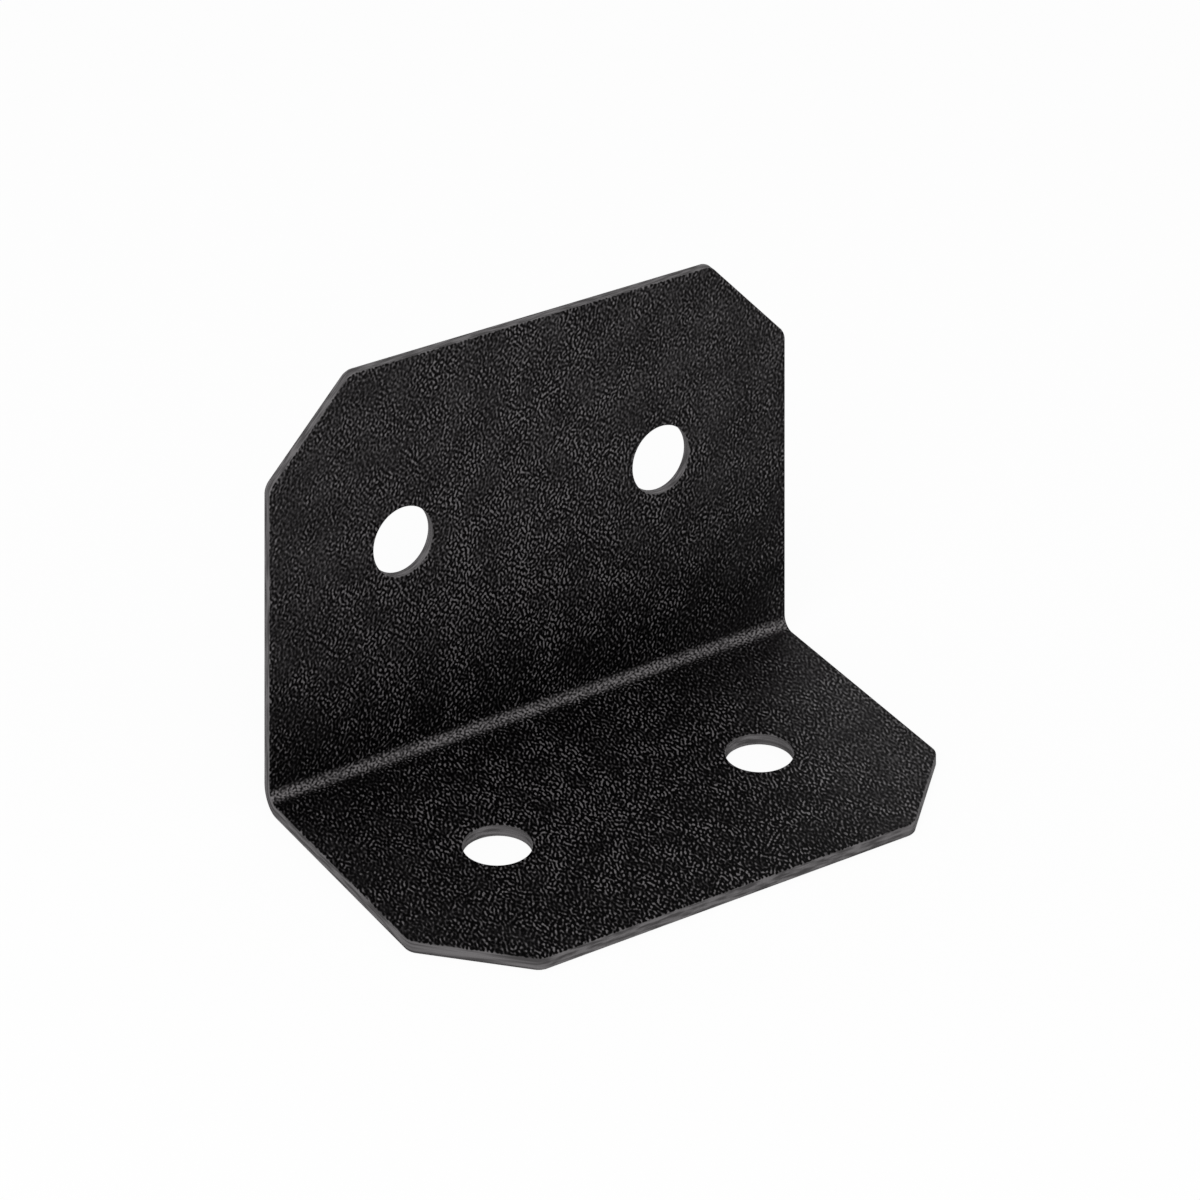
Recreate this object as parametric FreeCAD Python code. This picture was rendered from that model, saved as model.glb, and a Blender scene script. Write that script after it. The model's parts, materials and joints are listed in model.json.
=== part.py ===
"""Angle bracket: one blank of steel sheet, clipped at its corners, punched with four bolt holes and folded once.

Millimetres. X runs along the fold. The base lies on Z = 0 with its free edge at the front, towards -Y, and the
upright stands at the back with its outer face towards +Y. The origin is the middle of the footprint.
"""
import FreeCAD
import Part

import math
import os
from collections import namedtuple

# Driving dimensions
WIDTH = 127.0  # along the fold, 5 in
BASE_INSIDE = 76.2  # upright's inner face to the base's front edge, 3 in
UPRIGHT_INSIDE = 82.55  # base's top face to the upright's top edge, 3 1/4 in
SHEET = 2.4  # thickness with its coat
FOLD_RADIUS = 2.6  # inside of the fold
CLIP = 19.05  # each clipped corner, the same both ways, 3/4 in
CLIP_ROUND = 3.2  # where a clip meets the straight edges, 1/8 in
HOLE_DIAMETER = 14.29  # 9/16 in, clears a 1/2 in bolt
HOLE_SPACING = 63.5  # centre to centre along the fold, 2 1/2 in
HOLE_TO_EDGE = 38.1  # centre to the free edge of the leg, 1 1/2 in
EDGE_ROUND = 0.25  # softening of the outline's cut edges
HOLE_BREAK = 0.2  # edge broken off each hole rim
SHARP_ANGLE = math.radians(30.0)  # faces that meet at more than this have an edge to soften

# Sizes that follow from them
DEPTH = BASE_INSIDE + SHEET
HEIGHT = UPRIGHT_INSIDE + SHEET
FRONT = -DEPTH / 2
BACK = DEPTH / 2
OUTER_RADIUS = FOLD_RADIUS + SHEET

ALONG_FOLD = FreeCAD.Vector(1, 0, 0)
SIDES = (-1, 1)

# A leg of the angle: the middle of its free edge on the outer face, the way out to that edge from the fold,
# and the way through the sheet from the outer face to the inner one.
Leg = namedtuple("Leg", "edge outward through")
BASE = Leg(FreeCAD.Vector(0, FRONT, 0), FreeCAD.Vector(0, -1, 0), FreeCAD.Vector(0, 0, 1))
UPRIGHT = Leg(FreeCAD.Vector(0, BACK, HEIGHT), FreeCAD.Vector(0, 0, 1), FreeCAD.Vector(0, -1, 0))
LEGS = (BASE, UPRIGHT)


def folded_strip():
    """The plain angle: base, fold and upright in one thickness, as wide as the blank."""
    centre = FreeCAD.Vector(-WIDTH / 2, BACK - OUTER_RADIUS, OUTER_RADIUS)
    diagonal = (BASE.through + UPRIGHT.through).normalize()

    def fold(radius):
        """The quarter turn from the base to the upright."""
        start = centre - BASE.through * radius
        middle = centre - diagonal * radius
        end = centre - UPRIGHT.through * radius
        return Part.Arc(start, middle, end).toShape()

    outer_fold = fold(OUTER_RADIUS)
    inner_fold = fold(FOLD_RADIUS)
    to_end = -ALONG_FOLD * (WIDTH / 2)
    front = BASE.edge + to_end
    top = UPRIGHT.edge + to_end
    front_inner = front + BASE.through * SHEET
    top_inner = top + UPRIGHT.through * SHEET
    section = [
        Part.makeLine(front, outer_fold.firstVertex().Point),
        outer_fold,
        Part.makeLine(outer_fold.lastVertex().Point, top),
        Part.makeLine(top, top_inner),
        Part.makeLine(top_inner, inner_fold.lastVertex().Point),
        inner_fold,
        Part.makeLine(inner_fold.firstVertex().Point, front_inner),
        Part.makeLine(front_inner, front),
    ]
    return Part.Face(Part.Wire(section)).extrude(ALONG_FOLD * WIDTH)


def clipped_corner(leg, side):
    """The triangle of sheet that is cut off one free corner of a leg."""
    corner = leg.edge + ALONG_FOLD * (side * WIDTH / 2)
    on_edge = corner - ALONG_FOLD * (side * CLIP)
    on_side = corner - leg.outward * CLIP
    triangle = Part.Face(Part.makePolygon([corner, on_edge, on_side, corner]))
    return triangle.extrude(leg.through * SHEET)


def bolt_hole(leg, side):
    """The slug that is punched out of a leg for one bolt."""
    centre = leg.edge - leg.outward * HOLE_TO_EDGE + ALONG_FOLD * (side * HOLE_SPACING / 2)
    return Part.makeCylinder(HOLE_DIAMETER / 2, SHEET, centre, leg.through)


def runs_through_sheet(edge):
    """True for a corner edge that runs straight through the sheet."""
    return math.isclose(edge.Length, SHEET, rel_tol=1e-6)


def is_sharp(shape, edge):
    """True where the two faces at an edge meet at an angle."""
    faces = shape.ancestorsOfType(edge, Part.Face)
    middle = edge.valueAt((edge.FirstParameter + edge.LastParameter) / 2)
    first, second = (face.normalAt(*face.Surface.parameter(middle)) for face in faces)
    return first.getAngle(second) > SHARP_ANGLE


def angle_bracket():
    """The finished bracket."""
    places = [(leg, side) for leg in LEGS for side in SIDES]
    shape = folded_strip().cut([clipped_corner(*place) for place in places])
    shape = shape.makeFillet(CLIP_ROUND, [edge for edge in shape.Edges if runs_through_sheet(edge)])
    shape = shape.makeFillet(EDGE_ROUND, [edge for edge in shape.Edges if is_sharp(shape, edge)])
    shape = shape.cut([bolt_hole(*place) for place in places])
    return shape.makeChamfer(HOLE_BREAK, [edge for edge in shape.Edges if edge.Closed])


os.makedirs("parts", exist_ok=True)
bracket = angle_bracket().Solids[0]
bracket.exportStep("parts/angle_bracket.step")
box = bracket.optimalBoundingBox(False, False)
print(f"valid {bracket.isValid()}, volume {bracket.Volume:.0f} mm3, box {box}")
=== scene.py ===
import json
import math

import bmesh
import bpy
from mathutils import Matrix, Vector


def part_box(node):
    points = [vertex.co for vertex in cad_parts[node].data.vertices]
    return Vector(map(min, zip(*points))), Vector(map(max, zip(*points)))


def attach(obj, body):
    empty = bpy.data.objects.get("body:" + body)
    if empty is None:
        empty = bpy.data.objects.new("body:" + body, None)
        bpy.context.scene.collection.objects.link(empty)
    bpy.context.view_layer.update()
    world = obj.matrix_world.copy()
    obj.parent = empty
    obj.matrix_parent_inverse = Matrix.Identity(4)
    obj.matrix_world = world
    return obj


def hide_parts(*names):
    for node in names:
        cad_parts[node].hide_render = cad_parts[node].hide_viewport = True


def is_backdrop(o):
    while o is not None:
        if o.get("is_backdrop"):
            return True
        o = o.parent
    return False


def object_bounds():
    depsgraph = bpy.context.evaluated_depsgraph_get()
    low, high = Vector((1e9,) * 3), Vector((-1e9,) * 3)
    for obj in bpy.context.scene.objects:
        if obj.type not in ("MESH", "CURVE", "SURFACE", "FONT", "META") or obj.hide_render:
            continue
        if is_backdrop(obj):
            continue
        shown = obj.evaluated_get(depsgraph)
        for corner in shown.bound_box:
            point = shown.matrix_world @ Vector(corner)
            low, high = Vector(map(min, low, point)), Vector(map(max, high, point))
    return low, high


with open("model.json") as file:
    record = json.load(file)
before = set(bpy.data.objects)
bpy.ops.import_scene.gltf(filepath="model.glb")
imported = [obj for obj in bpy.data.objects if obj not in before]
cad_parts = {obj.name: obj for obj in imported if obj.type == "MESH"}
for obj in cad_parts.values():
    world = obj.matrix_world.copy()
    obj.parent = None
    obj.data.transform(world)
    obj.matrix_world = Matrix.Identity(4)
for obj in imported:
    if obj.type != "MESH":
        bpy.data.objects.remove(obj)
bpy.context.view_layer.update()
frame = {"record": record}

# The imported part, in metres: X along the fold, the upright at the back towards +Y, the base on Z = 0
MM = 0.001
low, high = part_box("angle_bracket")
mounts = {mount["name"]: mount for mount in frame["record"]["mounts"]}
WIDTH = high.x - low.x
FRONT = low.y
BACK = high.y
TOP = high.z
HOLE_RADIUS = mounts["base_bolts"]["dims"]["hole_r_mm"] * MM
HOLE_SPACING = mounts["base_bolts"]["dims"]["spacing_x_mm"] * MM
BASE_HOLE_Y = mounts["base_bolts"]["pos_m"][1]
UPRIGHT_HOLE_Z = mounts["upright_bolts"]["pos_m"][2]

# The sheet
SHEET = 2.4 * MM
FOLD_RADIUS = 2.6 * MM
CLIP = 19.05 * MM
CLIP_TURN = math.radians(45.0)  # between a clip and the straight edges beside it
CLIP_ROUND = 3.2 * MM
EDGE_ROUND = 0.25 * MM
MIDDLE_RADIUS = FOLD_RADIUS + SHEET / 2
OUTER_RADIUS = FOLD_RADIUS + SHEET
FOLD_Y = BACK - OUTER_RADIUS
FOLD_Z = OUTER_RADIUS
SIDES = (-1, 1)

# How finely the round stretches are divided
FOLD_STEPS = 20
CORNER_STEPS = 8
HOLE_STEPS = 96
EDGE_STEPS = 3
MERGE = 0.01 * MM

# The wrinkles of the coat
GRAIN = 0.93 * MM  # from one wrinkle to the next
GRAIN_WAVES = 1.35  # wrinkles in each cell of the pattern
GRAIN_RUN = 0.18  # how much they run one way, from 0 to 1
GRAIN_TURN = 0.0  # that way's angle from straight up the sheet
GRAIN_HEIGHT = 0.12 * MM
BASE_DRAW = 1.6  # how far they are drawn out along the base
BASE_LEAN = 0.28  # and slanted there
UPRIGHT_DRAW = 1.05
GRAIN_MIDDLE = 0.5  # the pattern's mean value
NOISE_LOW = 0.3
NOISE_HIGH = 0.7

# Stretches with paler and darker wrinkles, small and large
PATCH = 0.62 * MM
PATCH_STRENGTH = (0.4, 1.6)
MOTTLE = 8.0 * MM
MOTTLE_DETAIL = 3.0
MOTTLE_STRENGTH = (0.8, 1.2)

# Stretches with soft and with bold wrinkles, which are boldest round the middle of the fold
BOLD_PATCH = 7.0 * MM
BOLD_DETAIL = 2.0
BOLD_STRENGTH = (0.5, 1.5)
BOLD_X = -6.0 * MM
BOLD_OFF_FOLD = -5.0 * MM
BOLD_SQUASH = 0.5  # distances up the sheet count this much
BOLD_NEAR = 12.0 * MM
BOLD_FAR = 66.0 * MM
BOLD_OUTWARDS = (1.6, 0.62)

# Tone of the wrinkles: pale above a floor. Painted light makes them paler, with paler valleys, up the
# upright and at the base's right end
BASE_FLOOR = 0.45
TOP_FLOOR = 0.305
BASE_GAIN = 3.22
TOP_GAIN = 1.94
BASE_LEVEL = 0.275
TOP_LEVEL = 0.415
PALE_POWER = 2.2
FOLD_FADE = 12.0 * MM
PAINTED_LIGHT_HEIGHT = 48.0 * MM
PAINTED_LIGHT_SLANT = 0.07  # further up on the right
RIGHT_START = 18.0 * MM
RIGHT_PAINTED_LIGHT = 0.8
VALLEY = (0.0004, 0.0003, 0.0004, 1.0)
PAINTED_LIGHT_VALLEY = (0.0022, 0.0018, 0.0020, 1.0)
WRINKLE = (0.134, 0.1255, 0.130, 1.0)
VALLEY_SHINE = 0.02

# The inside of the fold: a pale grey band, a painted highlight on a smoother, glossier coat, between two
# stretches of painted shade
FOLD_HIGHLIGHT_GREY = (0.145, 0.1347, 0.1381, 1.0)
FOLD_HIGHLIGHT_STRENGTH = (0.1, 0.95)
FOLD_HIGHLIGHT_LOW = 0.35
FOLD_HIGHLIGHT_HIGH = 0.65
FOLD_HIGHLIGHT_MIDDLE = 3.29 * MM
FOLD_HIGHLIGHT_REACH = 2.6 * MM
INSIDE_START = 0.6 * SHEET
INSIDE_END = 0.8 * SHEET
FOLD_MIDDLE = FOLD_Y + MIDDLE_RADIUS * math.pi / 4
# Painted shade: fewer pale wrinkles on the inside near the fold, where shade falls
FOLD_SHADE_NEAR = 4.0 * MM
FOLD_SHADE_FAR = 24.0 * MM
FOLD_SHADE_STRENGTH = (1.0, 0.5)

# The cut edges, with fine lines along them and a ragged border
CUT_DARK = (0.063, 0.0598, 0.0611, 1.0)
CUT_LIGHT = (0.160, 0.153, 0.1562, 1.0)
CUT_SHINE = 0.06
CUT_START = 0.04 * MM
CUT_END = 0.2 * MM
CUT_LINE = 0.55 * MM
LINE_DETAIL = 2.0
LINE_STRETCH = 8.0
LINE_SLANT = 0.6
RAGGED = 0.45 * MM

# The shader's own values
ROUGHNESS = 0.6
SPECULAR = 0.02
COAT_ROUGHNESS = 0.45

# The studio
FLOOR_SIZE = 8.0
FLOOR_GAP = 0.05 * MM
FLOOR_COLOUR = (0.95, 0.95, 0.95, 1.0)
FLOOR_GLOW = 0.93
WHITE = (1.0, 1.0, 1.0, 1.0)
DOME = 0.6
KEY_PLACE = (-0.6, -0.65, 0.95)
KEY_SIZE = 0.9
KEY_POWER = 8.0

# The camera: a level view camera whose line of sight falls by VIEW_DROP for each metre ahead
VIEW_AZIMUTH = math.radians(-31.812)
VIEW_DROP = 0.53248
VIEW_PLACE = Vector((-0.64616, -1.03106, 0.69044))
FOCAL_LENGTH = 201.11


class Socket:
    """An output of a node. Arithmetic on it adds Math nodes."""

    def __init__(self, shading, output):
        self.shading = shading
        self.output = output

    def __add__(self, other):
        return self.shading.math("ADD", self, other)

    def __sub__(self, other):
        return self.shading.math("SUBTRACT", self, other)

    def __rsub__(self, other):
        return self.shading.math("SUBTRACT", other, self)

    def __mul__(self, other):
        return self.shading.math("MULTIPLY", self, other)

    def __truediv__(self, other):
        return self.shading.math("DIVIDE", self, other)

    def __pow__(self, power):
        return self.shading.math("POWER", self, power)

    __radd__ = __add__
    __rmul__ = __mul__

    def at_least(self, other):
        return self.shading.math("MAXIMUM", self, other)

    def at_most(self, other):
        return self.shading.math("MINIMUM", self, other)

    def between(self, start, end):
        """0 up to start, 1 from end, and a smooth rise between them."""
        settings = {"interpolation_type": "SMOOTHSTEP"}
        inputs = {"Value": self, "From Min": start, "From Max": end}
        return self.shading.node("ShaderNodeMapRange", settings, inputs)

    def goes(self, first, last):
        """From first to last as this goes from 0 to 1."""
        return first + (last - first) * self

    def beside(self, name):
        """Another output of the same node."""
        return Socket(self.shading, self.output.node.outputs[name])


class Shading:
    """The nodes of a material or of the world."""

    def __init__(self, tree):
        self.nodes = tree.nodes
        self.links = tree.links
        self.nodes.clear()

    def node(self, kind, settings=None, inputs=None, output=0):
        """Adds a node: its settings first, then the values or links of its sockets."""
        node = self.nodes.new(kind)
        for name, value in (settings or {}).items():
            setattr(node, name, value)
        for name, value in (inputs or {}).items():
            if isinstance(value, Socket):
                self.links.new(value.output, node.inputs[name])
            else:
                node.inputs[name].default_value = value
        return Socket(self, node.outputs[output]) if node.outputs else None

    def math(self, operation, *values):
        return self.node("ShaderNodeMath", {"operation": operation}, dict(enumerate(values)))

    def point(self, x, y):
        """A point on a flat sheet."""
        return self.node("ShaderNodeCombineXYZ", None, {"X": x, "Y": y})

    def lumps(self, point, size, detail=0.0):
        """Noise from 0 to 1 on a flat sheet, with lumps of about this size."""
        inputs = {"Vector": point, "Scale": 1 / size, "Detail": detail}
        noise = self.node("ShaderNodeTexNoise", {"noise_dimensions": "2D"}, inputs)
        return noise.between(NOISE_LOW, NOISE_HIGH)

    def blend(self, factor, first, second):
        """A colour between two others."""
        inputs = {0: factor, 6: first, 7: second}
        return self.node("ShaderNodeMix", {"data_type": "RGBA"}, inputs, output=2)


def new_shading(name):
    """A material and its empty nodes."""
    material = bpy.data.materials.new(name)
    material.use_nodes = True
    return material, Shading(material.node_tree)


def cut_leg(bm, length, hole_reach, place):
    """Cuts a leg with its holes out of flat sheet, from the fold edge on Y = 0, and puts it in place."""
    others = set(bm.edges)
    half = WIDTH / 2
    outline = ((-half, 0, 0), (half, 0, 0), (half, length, 0), (-half, length, 0))
    corners = [bm.verts.new(corner) for corner in outline]
    bm.faces.new(corners)
    cut = {"affect": "VERTICES", "profile": 0.5, "material": -1}
    clipped = bmesh.ops.bevel(bm, geom=corners[2:], offset=CLIP, segments=1, **cut)
    round_reach = CLIP_ROUND * math.tan(CLIP_TURN / 2)
    rounded = bmesh.ops.bevel(bm, geom=clipped["verts"], offset=round_reach, segments=CORNER_STEPS, **cut)
    bmesh.ops.delete(bm, geom=list(rounded["verts"][0].link_faces), context="FACES_ONLY")
    for side in SIDES:
        centre = Matrix.Translation((side * HOLE_SPACING / 2, hole_reach, 0))
        bmesh.ops.create_circle(bm, radius=HOLE_RADIUS, segments=HOLE_STEPS, matrix=centre)
    rims = [edge for edge in bm.edges if edge not in others]
    verts = list({vert for edge in rims for vert in edge.verts})
    fold_edge = bm.edges.get(corners[:2])
    bmesh.ops.triangle_fill(bm, use_beauty=True, edges=rims, normal=Vector((0, 0, -1)))
    bmesh.ops.transform(bm, matrix=place, verts=verts)
    return fold_edge


def folded_sheet(bm, skin):
    """One face of the sheet, this far inside its outer face: the base, the fold and the upright."""
    base_place = Matrix.Translation((0, FOLD_Y, skin)) @ Matrix.Rotation(math.pi, 4, "Z")
    upright_place = Matrix.Translation((0, BACK - skin, FOLD_Z)) @ Matrix.Rotation(math.pi / 2, 4, "X")
    fold_edge = cut_leg(bm, FOLD_Y - FRONT, FOLD_Y - BASE_HOLE_Y, base_place)
    cut_leg(bm, TOP - FOLD_Z, UPRIGHT_HOLE_Z - FOLD_Z, upright_place)
    bmesh.ops.spin(bm, geom=[fold_edge, *fold_edge.verts], cent=(0, FOLD_Y, FOLD_Z), axis=(1, 0, 0),
                   angle=math.pi / 2, steps=FOLD_STEPS)
    bmesh.ops.remove_doubles(bm, verts=bm.verts, dist=MERGE)


def depth_in_sheet(point):
    """How far a point lies inside the outer face."""
    return OUTER_RADIUS - math.hypot(max(point.y - FOLD_Y, 0), max(FOLD_Z - point.z, 0))


def round_edges(bm, skin):
    """Raises one face of the sheet with a quarter round along its outline and its holes."""
    for step in range(EDGE_STEPS):
        start = math.pi / 2 * step / EDGE_STEPS
        end = math.pi / 2 * (step + 1) / EDGE_STEPS
        inwards = EDGE_ROUND * (math.cos(start) - math.cos(end))
        outwards = EDGE_ROUND * (math.sin(end) - math.sin(start))
        bmesh.ops.inset_region(bm, faces=skin, thickness=inwards, depth=outwards, use_boundary=True,
                               use_even_offset=True)


def bracket_mesh():
    """The bracket: cut flat, folded, given its thickness and softened along every cut edge."""
    bm = bmesh.new()
    folded_sheet(bm, EDGE_ROUND)
    bmesh.ops.recalc_face_normals(bm, faces=bm.faces)
    bmesh.ops.solidify(bm, geom=list(bm.faces), thickness=SHEET - 2 * EDGE_ROUND)
    bmesh.ops.recalc_face_normals(bm, faces=bm.faces)
    for depth in (EDGE_ROUND, SHEET - EDGE_ROUND):
        skin = [face for face in bm.faces
                if all(abs(depth_in_sheet(vert.co) - depth) < 2 * MERGE for vert in face.verts)]
        round_edges(bm, skin)
    for face in bm.faces:
        face.smooth = True
    mesh = bpy.data.meshes.new("folded_bracket")
    bm.to_mesh(mesh)
    bm.free()
    return mesh


def powder_coat():
    """Black coat, wrinkled on the faces, smoother and greyer on the cut edges; smoother inside the fold,
    with a painted highlight there as a pale grey band and painted shade beside it; and painted light that
    makes the wrinkles paler up the upright and at the base's right end.
    """
    material, shading = new_shading("black_powder_coat")

    # Places on the sheet
    place = shading.node("ShaderNodeTexCoord", output="Object")
    across = shading.node("ShaderNodeSeparateXYZ", None, {0: place})
    back = across.beside("Y")
    up = across.beside("Z")
    reach_y = (back - FOLD_Y).at_least(0)
    reach_z = (FOLD_Z - up).at_least(0)
    from_axis = (reach_y * reach_y + reach_z * reach_z) ** 0.5
    depth = OUTER_RADIUS - from_axis
    from_face = depth.at_most(SHEET - depth)
    along_base = back.at_most(FOLD_Y)
    round_fold = shading.math("ARCTAN2", reach_y, reach_z) * MIDDLE_RADIUS
    up_upright = (up - FOLD_Z).at_least(0)
    up_sheet = along_base + round_fold + up_upright
    drawn_up = along_base / BASE_DRAW + (round_fold + up_upright) / UPRIGHT_DRAW
    drawn_out = shading.point(across - along_base * BASE_LEAN, drawn_up)
    on_sheet = shading.point(across, up_sheet)
    along_edge = (across + LINE_SLANT * up_sheet) / LINE_STRETCH

    # Where the coat differs, and where highlight, shade and light are painted
    inside = depth.between(INSIDE_START, INSIDE_END)
    # The band of the fold's painted highlight
    from_fold_highlight = shading.math("ABSOLUTE", round_fold - FOLD_HIGHLIGHT_MIDDLE)
    fold_highlight_band = inside * (1 - from_fold_highlight.between(0, FOLD_HIGHLIGHT_REACH))
    # Painted shade on the inside near the fold
    from_fold = shading.math("ABSOLUTE", up_sheet - FOLD_MIDDLE)
    fold_shade = inside * (1 - from_fold.between(FOLD_SHADE_NEAR, FOLD_SHADE_FAR))
    on_upright = up_upright.between(0, FOLD_FADE)
    right_end = across.between(RIGHT_START, WIDTH / 2) * (1 - on_upright)
    # Painted light: the wrinkles grow paler up the upright, further up on the right, and at the base's
    # right end, as light and reflection fall there
    painted_light_rise = (up_upright - PAINTED_LIGHT_SLANT * across) / PAINTED_LIGHT_HEIGHT
    painted_light = painted_light_rise.at_most(1).at_least(RIGHT_PAINTED_LIGHT * right_end)
    out_x = across - BOLD_X
    out_up = (up_sheet - FOLD_MIDDLE - BOLD_OFF_FOLD) * BOLD_SQUASH
    from_bold = (out_x * out_x + out_up * out_up) ** 0.5

    # Wrinkles
    grain = shading.node("ShaderNodeTexGabor", {"gabor_type": "2D"}, {
        "Vector": drawn_out,
        "Scale": 1 / (GRAIN * GRAIN_WAVES),
        "Frequency": GRAIN_WAVES,
        "Anisotropy": GRAIN_RUN,
        "Orientation": GRAIN_TURN,
    })
    patches = shading.lumps(drawn_out, PATCH)
    mottle = shading.lumps(on_sheet, MOTTLE, MOTTLE_DETAIL)
    bold = shading.lumps(on_sheet, BOLD_PATCH, BOLD_DETAIL)
    uneven = patches.goes(*PATCH_STRENGTH) * mottle.goes(*MOTTLE_STRENGTH)
    outwards = from_bold.between(BOLD_NEAR, BOLD_FAR)
    boldness = bold.goes(*BOLD_STRENGTH) * outwards.goes(*BOLD_OUTWARDS)
    # Floor, gain and level follow the painted light
    floor = painted_light.goes(BASE_FLOOR, TOP_FLOOR)
    gain = painted_light.goes(BASE_GAIN, TOP_GAIN)
    level = painted_light.goes(BASE_LEVEL, TOP_LEVEL)
    height = (grain - floor).at_least(0) * gain
    height = (level + (height - level) * boldness).at_least(0)
    # Fewer pale wrinkles near the inside of the fold: painted shade
    strength = uneven * fold_shade.goes(*FOLD_SHADE_STRENGTH)
    flecks = (height ** PALE_POWER * strength).at_most(1)

    # Fold and cut edges
    # The fold band's pale grey is a painted highlight; its coat weight is the smoother coat's real gloss
    fold_highlight_grain = grain.between(FOLD_HIGHLIGHT_LOW, FOLD_HIGHLIGHT_HIGH).goes(*FOLD_HIGHLIGHT_STRENGTH)
    fold_gloss_and_highlight = (fold_highlight_band * uneven * fold_highlight_grain).at_most(1)
    cut = (from_face + (grain - GRAIN_MIDDLE) * RAGGED).between(CUT_START, CUT_END)
    lines = shading.lumps(shading.point(depth, along_edge), CUT_LINE, LINE_DETAIL)

    # Paler valleys where light is painted on
    colour = shading.blend(flecks, shading.blend(painted_light, VALLEY, PAINTED_LIGHT_VALLEY), WRINKLE)
    # Painted highlight inside the fold
    colour = shading.blend(fold_gloss_and_highlight, colour, FOLD_HIGHLIGHT_GREY)
    colour = shading.blend(cut, colour, shading.blend(lines, CUT_DARK, CUT_LIGHT))
    shine = flecks.at_least(fold_gloss_and_highlight).at_least(VALLEY_SHINE) * (1 - cut) + CUT_SHINE * cut
    relief = shading.node("ShaderNodeBump", None, {"Height": grain, "Distance": GRAIN_HEIGHT})
    coat = shading.node("ShaderNodeBsdfPrincipled", None, {
        "Base Color": colour,
        "Roughness": ROUGHNESS,
        "Specular IOR Level": SPECULAR,
        "Coat Weight": shine,
        "Coat Roughness": COAT_ROUGHNESS,
        "Normal": relief,
    })
    shading.node("ShaderNodeOutputMaterial", None, {"Surface": coat})
    return material


def add_object(name, mesh, material):
    """Puts a mesh into the scene at the origin."""
    thing = bpy.data.objects.new(name, mesh)
    mesh.materials.append(material)
    bpy.context.scene.collection.objects.link(thing)
    return thing


def seen_directly(shading):
    """1 for rays that show a surface, straight or in a reflection, and 0 for those that light."""
    path = shading.node("ShaderNodeLightPath", output="Is Camera Ray")
    return path.at_least(path.beside("Is Glossy Ray")).at_least(path.beside("Is Transmission Ray"))


def pale_floor():
    """A white floor that shows the bracket's shadow faintly."""
    material, shading = new_shading("pale_floor")
    matt = shading.node("ShaderNodeBsdfDiffuse", None, {"Color": FLOOR_COLOUR})
    glow = shading.node("ShaderNodeEmission", None, {"Color": WHITE, "Strength": 1.0})
    share = seen_directly(shading) * FLOOR_GLOW
    surface = shading.node("ShaderNodeMixShader", None, {0: share, 1: matt, 2: glow})
    shading.node("ShaderNodeOutputMaterial", None, {"Surface": surface})
    bm = bmesh.new()
    place = Matrix.Translation((0, 0, -FLOOR_GAP))
    bmesh.ops.create_grid(bm, x_segments=1, y_segments=1, size=FLOOR_SIZE / 2, matrix=place)
    mesh = bpy.data.meshes.new("floor")
    bm.to_mesh(mesh)
    bm.free()
    return add_object("floor", mesh, material)


def studio_dome():
    """White all round for the camera, and a softer even light for the bracket."""
    world = bpy.data.worlds.new("studio")
    world.use_nodes = True
    shading = Shading(world.node_tree)
    strength = seen_directly(shading).goes(DOME, 1)
    dome = shading.node("ShaderNodeBackground", None, {"Color": WHITE, "Strength": strength})
    shading.node("ShaderNodeOutputWorld", None, {"Surface": dome})
    bpy.context.scene.world = world


def key_light():
    """A square lamp that faces the bracket from the left."""
    lamp = bpy.data.lights.new("key", "AREA")
    lamp.size = KEY_SIZE
    lamp.energy = KEY_POWER
    thing = bpy.data.objects.new("key", lamp)
    thing.location = KEY_PLACE
    thing.rotation_euler = (-Vector(KEY_PLACE)).to_track_quat("-Z", "Y").to_euler()
    bpy.context.scene.collection.objects.link(thing)


def view_camera():
    """The photograph's camera. Its picture stays upright while it looks down, like a view camera's."""
    right = Vector((math.cos(VIEW_AZIMUTH), math.sin(VIEW_AZIMUTH), 0))
    ahead = Vector((-math.sin(VIEW_AZIMUTH), math.cos(VIEW_AZIMUTH), 0))
    up = Vector((0, 0, 1))
    look = (ahead - VIEW_DROP * up).normalized()
    lens = bpy.data.cameras.new("camera")
    lens.lens = FOCAL_LENGTH
    camera = bpy.data.objects.new("camera", lens)
    stand = bpy.data.objects.new("camera_stand", None)
    placing = Matrix((right, up, -look)).transposed().to_4x4()
    placing.translation = VIEW_PLACE
    camera.parent = stand
    camera.matrix_parent_inverse = placing
    for thing in (stand, camera):
        bpy.context.scene.collection.objects.link(thing)
    bpy.context.scene.camera = camera


bracket = add_object("folded_bracket", bracket_mesh(), powder_coat())
normals = bracket.modifiers.new("normals", "WEIGHTED_NORMAL")
normals.mode = "FACE_AREA"
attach(bracket, "root")
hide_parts("angle_bracket")

pale_floor()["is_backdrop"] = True
studio_dome()
key_light()
view_camera()
bpy.context.scene.view_settings.view_transform = "Standard"

low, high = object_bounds()
